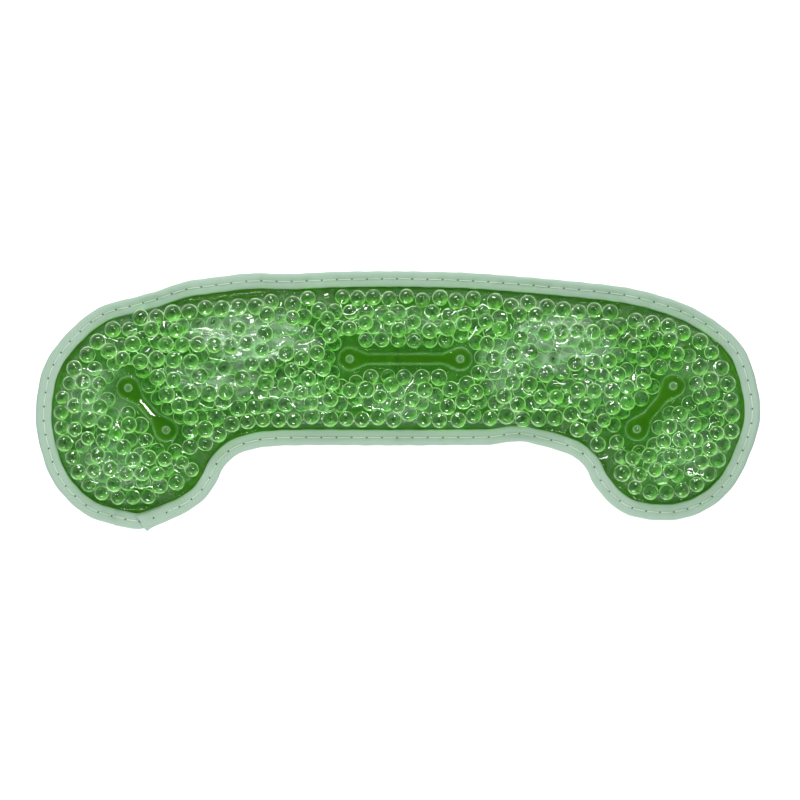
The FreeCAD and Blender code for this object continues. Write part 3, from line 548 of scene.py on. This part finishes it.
for side in SIDES:
    mesh = cut_sheet(
        f"front_film_{side}_side", side, FILM_STEP, FILM_EDGE, lambda x, y: sample(film, x, y), film_normal
    )
    points = np.zeros(len(mesh.vertices) * 3, np.float32)
    mesh.vertices.foreach_get("co", points)
    points = points.reshape(-1, 3)
    mesh.attributes.new("haze_and_painted_highlights", "FLOAT", "POINT").data.foreach_set(
        "value", sample(haze_and_painted_highlights, points[:, 0], points[:, 1]).astype(np.float32)
    )
    piece = as_object(mesh, clear_vinyl)
    bend(piece)
    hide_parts("front_film_centre", f"front_film_{side}")

# ------------------------------------------------------------ loose gel and back film
# Runny clear gel wets the lower part of the beads. A second sheet of the same vinyl lies under it and
# closes the pouch, fused to the front film at the welds and the edge.

gel_wet, tree = new_material("loose_gel_wet")
tint = add_node(tree, "ShaderNodeBsdfTransparent", {"Color": linear("#dcebd0")})
wet = add_node(tree, "ShaderNodeBsdfAnisotropic", {"Color": (1, 1, 1, 1), "Roughness": 0.05})
wet_facing = add_node(tree, "ShaderNodeNewGeometry").outputs["Backfacing"]
wet_fresnel = add_node(tree, "ShaderNodeFresnel", {"IOR": 1.2}).outputs[0]
wet_shine = math_node(tree, "MULTIPLY", wet_fresnel, math_node(tree, "SUBTRACT", 1.0, wet_facing))
gel = add_node(tree, "ShaderNodeMixShader", {0: wet_shine, 1: tint.outputs[0], 2: wet.outputs[0]})
output(tree, gel.outputs[0])

back_vinyl, tree = new_material("green_soft_vinyl_clear")
output(tree, add_node(tree, "ShaderNodeBsdfTransparent", {"Color": linear("#e4efdc")}).outputs[0])


def gel_height(x, y):
    return np.minimum(sample(film, x, y) - 0.15 * MM, 3.4 * MM)


def floor_height(base, rim):
    """A layer lies at base inside the pouch and climbs to rim at the sewn edge."""
    return lambda x, y: base + (rim - base) * smoothstep(7.4 * MM, 5.8 * MM, inset_of(x, y)[0])


for side in SIDES:
    mesh = cut_sheet(f"loose_gel_{side}_side", side, 0.8 * MM, 6.9 * MM, gel_height)
    bm = bmesh.new()
    bm.from_mesh(mesh)
    spots = np.array([v.co.xy for v in bm.verts])
    in_weld = weld_gap(spots[:, 0], spots[:, 1])[0] < 0.2 * MM
    bmesh.ops.delete(bm, geom=[v for v, inside in zip(bm.verts[:], in_weld) if inside], context="VERTS")
    bm.to_mesh(mesh)
    bm.free()
    piece = as_object(mesh, gel_wet)
    bend(piece)
    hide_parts("gel_fluid_centre", f"gel_fluid_{side}")
    mesh = cut_sheet(f"back_film_{side}_side", side, 2.0 * MM, FILM_EDGE, floor_height(0.75 * MM, 1.6 * MM))
    piece = as_object(mesh, back_vinyl)
    bend(piece)
    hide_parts("back_film_centre", f"back_film_{side}")

# ------------------------------------------------------------ back fabric
# Soft green knit that lies on the face. It gives the whole pack its deep green, and its weave shows
# through the clear welds.

knit, tree = new_material("knit_polyester_brushed_green")
place = add_node(tree, "ShaderNodeTexCoord").outputs["Object"]
weave_scale = 2 * math.pi / (0.62 * MM)
split = add_node(tree, "ShaderNodeSeparateXYZ", {0: place})
warp = math_node(tree, "SINE", math_node(tree, "MULTIPLY", split.outputs["X"], weave_scale))
weft = math_node(tree, "SINE", math_node(tree, "MULTIPLY", split.outputs["Y"], weave_scale))
weave = math_node(tree, "MULTIPLY_ADD", math_node(tree, "MULTIPLY", warp, weft), 0.5, 0.5)
fabric_tone = add_node(tree, "ShaderNodeMix", {
    0: weave, "A": linear("#447706"), "B": linear("#5f9012"),
}, data_type="RGBA")
fabric_tone = tree.nodes[-1]
knit_bump = add_node(tree, "ShaderNodeBump", {"Height": weave, "Strength": 0.4, "Distance": 0.1 * MM})
knit_surface = add_node(tree, "ShaderNodeBsdfPrincipled", {
    "Roughness": 0.85, "Normal": knit_bump.outputs[0], "Sheen Weight": 0.1,
})
tree.links.new(fabric_tone.outputs["Result"], knit_surface.inputs["Base Color"])
output(tree, knit_surface.outputs[0])

for side in SIDES:
    height = floor_height(0.45 * MM, 1.35 * MM)
    mesh = cut_sheet(f"back_fabric_{side}_side", side, 1.5 * MM, 0.7 * MM, height)
    bm = bmesh.new()
    bm.from_mesh(mesh)
    bmesh.ops.solidify(bm, geom=bm.faces[:], thickness=0.4 * MM)
    bm.to_mesh(mesh)
    bm.free()
    piece = as_object(mesh, knit)
    bend(piece)
    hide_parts("back_fabric_centre", f"back_fabric_{side}")

# ------------------------------------------------------------ binding tape
# One strip of fine sage-green twill, folded over the raw edge and sewn down all the way round. Its ends
# overlap at the foot of the left lobe, where the upper one is turned under on a slant.

TAPE_STEP = 0.6 * MM
TAPE_WIDTH = 6.0 * MM
SEAM_INSET = 3.1 * MM
STITCH_PITCH = 5.8 * MM
TAPE_SECTION = [  # inset from the outline and height, from the inner edge on top round to the one below
    (5.85, 2.00), (6.05, 2.22), (5.95, 2.44), (5.40, 2.52), (4.60, 2.55), (3.80, 2.50), (3.30, 2.42), (2.90, 2.42),
    (2.30, 2.52), (1.50, 2.60), (0.90, 2.52), (0.40, 2.28), (0.10, 1.90), (0.00, 1.45), (0.10, 1.00), (0.40, 0.66),
    (0.90, 0.46), (1.80, 0.42), (3.10, 0.44), (4.60, 0.42), (5.80, 0.44), (5.95, 0.60),
]

def lay_strip(name, path, first=0.0, last=None, rise=0.0, lean=0.0, corner=0.0):
    """A stretch of tape along a path, with its length and width in the UV map. A leaning end starts further along
    at its outer edge, and may stick out there in a corner."""
    points, inward, distance = path
    last = distance[-1] if last is None else last
    section = np.array(TAPE_SECTION) * MM
    columns, rows = round((last - first) / TAPE_STEP), len(section) - 1
    mesh, column, row = lattice(name, columns, rows)
    across = np.concatenate([[0.0], np.cumsum(np.linalg.norm(np.diff(section, axis=0), axis=1))])
    along = column / columns
    inset, z = section[row, 0], section[row, 1]
    s = first + along * (last - first) + lean * (1 - along) * (1 - inset / TAPE_WIDTH)
    pitch = distance[-1] / round(distance[-1] / STITCH_PITCH)
    on_seam = np.exp(-(((inset - SEAM_INSET) / (0.9 * MM)) ** 2)) * (z > 1.5 * MM)
    gather = 0.5 * MM * np.sin(s / (3.1 * MM)) * np.sin(s / (7.7 * MM) + 0.6) * smoothstep(0.5 * MM, 5 * MM, inset)
    z = z - 0.16 * MM * on_seam * (0.4 + np.cos(2 * math.pi * s / pitch)) + 0.2 * gather * (z > 1.5 * MM)
    z = z + rise * (1 - along) * np.where(z > 1.2 * MM, 1, -0.5)
    ripple = 0.12 * MM * np.sin(s / (2.3 * MM)) * np.sin(s / (3.7 * MM) + 1.3)
    inset = inset + ripple - rise * (1 - along) - corner * np.exp(-along * (last - first) / (1.8 * MM)) * (inset < 3 * MM)
    place = [np.interp(s, distance, points[:, k]) + np.interp(s, distance, inward[:, k]) * inset for k in (0, 1)]
    mesh.vertices.foreach_set("co", np.column_stack([*place, z]).astype(np.float32).ravel())
    uv = mesh.uv_layers.new(name="UVMap")
    corners = np.zeros(len(mesh.loops), np.int32)
    mesh.loops.foreach_get("vertex_index", corners)
    width = across[row[corners]]
    uv.data.foreach_set("uv", np.column_stack([s[corners] * STITCH_PITCH / pitch, width]).astype(np.float32).ravel())
    return mesh


tape_cloth, tree = new_material("twill_tape_sage")
uv = add_node(tree, "ShaderNodeSeparateXYZ", {0: add_node(tree, "ShaderNodeTexCoord").outputs["UV"]})
u, v = uv.outputs["X"], uv.outputs["Y"]
rib_phase = math_node(tree, "MULTIPLY", math_node(tree, "ADD", u, v), 2 * math.pi / (0.75 * MM))
ribs = math_node(tree, "MULTIPLY_ADD", math_node(tree, "SINE", rib_phase), 0.5, 0.5)
yarn_phase = math_node(tree, "MULTIPLY", u, 2 * math.pi / (0.42 * MM))
yarns = math_node(tree, "MULTIPLY_ADD", math_node(tree, "SINE", yarn_phase), 0.5, 0.5)
twill = math_node(tree, "MULTIPLY", ribs, math_node(tree, "MULTIPLY_ADD", yarns, 0.4, 0.6))
# Painted shade: a dark dot at each needle hole along the seam, where the hole's recess lies in shade.
stitch = math_node(tree, "DIVIDE", u, STITCH_PITCH)
to_hole = math_node(tree, "MULTIPLY", math_node(tree, "SUBTRACT", stitch, math_node(tree, "ROUND", stitch)), STITCH_PITCH)
to_seam = math_node(tree, "SUBTRACT", v, 4.05 * MM - 0.6 * MM)
hole_gap = math_node(tree, "SQRT", math_node(
    tree, "ADD", math_node(tree, "MULTIPLY", to_hole, to_hole), math_node(tree, "MULTIPLY", to_seam, to_seam)))
painted_hole_shade = add_node(tree, "ShaderNodeMapRange", {0: hole_gap, 1: 0.24 * MM, 2: 0.42 * MM, 3: 1.0, 4: 0.0}).outputs[0]
cloth_tone = add_node(tree, "ShaderNodeMix", {0: twill}, data_type="RGBA")
cloth_tone.inputs["A"].default_value = linear("#7b9383")
cloth_tone.inputs["B"].default_value = linear("#9fb6a5")
tape_tone = add_node(tree, "ShaderNodeMix", {0: painted_hole_shade}, data_type="RGBA")
tree.links.new(cloth_tone.outputs["Result"], tape_tone.inputs["A"])
tape_tone.inputs["B"].default_value = linear("#26332a")
tape_bump = add_node(tree, "ShaderNodeBump", {"Height": twill, "Strength": 0.5, "Distance": 0.08 * MM})
tape_surface = add_node(tree, "ShaderNodeBsdfPrincipled", {
    "Roughness": 0.75, "Normal": tape_bump.outputs[0], "Sheen Weight": 0.15,
})
tree.links.new(tape_tone.outputs["Result"], tape_surface.inputs["Base Color"])
output(tree, tape_surface.outputs[0])

HALF_PATHS = {}
for side in SIDES:
    points, inward, distance = half_path(side, TAPE_STEP)
    points = points + sway(points[:, 0], points[:, 1], np.zeros(len(points)), inward)
    HALF_PATHS[side] = (points, inward, distance)
    mesh = lay_strip(f"binding_tape_{side}_side", HALF_PATHS[side])
    piece = as_object(mesh, tape_cloth)
    bend(piece)
    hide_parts("binding_tape_centre", f"binding_tape_{side}")

points, inward, distance = HALF_PATHS["left"]
end_spot = np.array([-99.4, -42.6]) * MM
end_start = float(distance[np.argmin(np.linalg.norm(points + inward * TAPE_WIDTH - end_spot, axis=1))])
for name, first, length, rise, lean, corner in (
    ("binding_tape_lower_end", end_start - 9 * MM, 11 * MM, 0.22 * MM, 1.0 * MM, 0.0),
    ("binding_tape_upper_end", end_start, 26 * MM, 0.55 * MM, 4.0 * MM, 0.9 * MM),
):
    piece = as_object(lay_strip(name, HALF_PATHS["left"], first, first + length, rise, lean, corner), tape_cloth)
    bend(piece)

# ------------------------------------------------------------ stitches
# One row of lockstitch in pale twisted polyester holds the tape. Each stitch dips into its needle holes.

THREAD_RADIUS = 0.17 * MM
STITCH_GAP = 0.9 * MM

thread, tree = new_material("polyester_thread_pale")
output(tree, add_node(tree, "ShaderNodeBsdfPrincipled", {
    "Base Color": linear("#b4c8b8"), "Roughness": 0.6,
}).outputs[0])

for side in SIDES:
    points, inward, distance = HALF_PATHS[side]
    for layer, top, sense in (("needle_thread", 2.52 * MM, 1), ("bobbin_thread", 0.38 * MM, -1)):
        bm = bmesh.new()
        stitches = round(distance[-1] / STITCH_PITCH)
        pitch = distance[-1] / stitches
        for number in range(stitches):
            along = np.linspace(0, 1, 7)
            s = number * pitch + STITCH_GAP / 2 + along * (pitch - STITCH_GAP)
            line = np.stack([np.interp(s, distance, (points + inward * SEAM_INSET)[:, k]) for k in (0, 1)], axis=1)
            dip = 0.40 * MM * (np.abs(2 * along - 1) ** 5)
            rings = []
            for step in range(7):
                towards = line[min(step + 1, 6)] - line[max(step - 1, 0)]
                towards /= np.linalg.norm(towards)
                centre = Vector((*line[step], top + sense * (0.05 * MM - dip[step])))
                sideways = Vector((-towards[1], towards[0], 0))
                rings.append([
                    bm.verts.new(centre + THREAD_RADIUS * (math.cos(a) * sideways + math.sin(a) * Vector((0, 0, 1))))
                    for a in np.linspace(0, 2 * math.pi, 6, endpoint=False)
                ])
            for ring, following in zip(rings, rings[1:]):
                edges = [
                    bm.edges.get((r[k], r[(k + 1) % 6])) or bm.edges.new((r[k], r[(k + 1) % 6]))
                    for r in (ring, following) for k in range(6)
                ]
                bmesh.ops.bridge_loops(bm, edges=edges)
        mesh = bpy.data.meshes.new(f"{layer}_{side}_side")
        bmesh.ops.recalc_face_normals(bm, faces=bm.faces[:])
        bm.to_mesh(mesh)
        bm.free()
        piece = as_object(mesh, thread)
        bend(piece)
        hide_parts(f"{layer}_centre", f"{layer}_{side}")

# ------------------------------------------------------------ floor, light and camera
# A plain white sweep, lit a little from below as a light table is, under soft, near-white studio light, seen
# from straight above.

FLOOR_DROP = 45 * MM  # room for the lobes to droop, as they do round a face

bm = bmesh.new()
bmesh.ops.create_grid(bm, x_segments=1, y_segments=1, size=2.0, matrix=Matrix.Translation((0, 0, -FLOOR_DROP)))
floor_mesh = bpy.data.meshes.new("floor")
bm.to_mesh(floor_mesh)
bm.free()
white, tree = new_material("white_sweep")
matt = add_node(tree, "ShaderNodeBsdfDiffuse", {"Color": (0.95, 0.95, 0.95, 1)})
glow = add_node(tree, "ShaderNodeEmission", {"Color": (1, 1, 1, 1), "Strength": 0.30})
output(tree, add_node(tree, "ShaderNodeAddShader", {0: matt.outputs[0], 1: glow.outputs[0]}).outputs[0])
floor = as_object(floor_mesh, white, smooth=False)

world = bpy.data.worlds.new("studio")
world.use_nodes = True
tree = world.node_tree
height = add_node(tree, "ShaderNodeSeparateXYZ", {0: add_node(tree, "ShaderNodeTexCoord").outputs["Generated"]})
dome = add_node(tree, "ShaderNodeMapRange", {0: height.outputs["Z"], 1: 0.97, 2: 0.78, 3: 0.03, 4: 0.66})
tree.links.new(dome.outputs[0], tree.nodes["Background"].inputs["Strength"])
tree.nodes["Background"].inputs["Color"].default_value = (1, 1, 1, 1)
bpy.context.scene.world = world

for name, place, size, power in (
    ("upper_box", (-0.12, 0.70, 0.43), (0.50, 0.12), 5.8),
    ("lower_box", (-0.12, -0.70, 0.43), (0.50, 0.12), 5.6),
    ("spark", (0.50, 0.47, 1.35), (0.30, 0.14), 6.0),
):
    light = bpy.data.lights.new(name, "AREA")
    light.shape = "RECTANGLE"
    light.size, light.size_y = size
    light.energy = power
    lamp = bpy.data.objects.new(name, light)
    lamp.location = place
    lamp.rotation_euler = (-Vector(place)).to_track_quat("-Z", "Y").to_euler()
    bpy.context.scene.collection.objects.link(lamp)

camera_data = bpy.data.cameras.new("camera")
camera_data.type = "ORTHO"
camera_data.ortho_scale = 304 * MM
camera = bpy.data.objects.new("camera", camera_data)
camera.location = (1.1 * MM, -0.6 * MM, 0.8)
bpy.context.scene.collection.objects.link(camera)
bpy.context.scene.camera = camera
bpy.context.scene.view_settings.view_transform = "Standard"
bpy.context.scene.cycles.transparent_max_bounces = 24
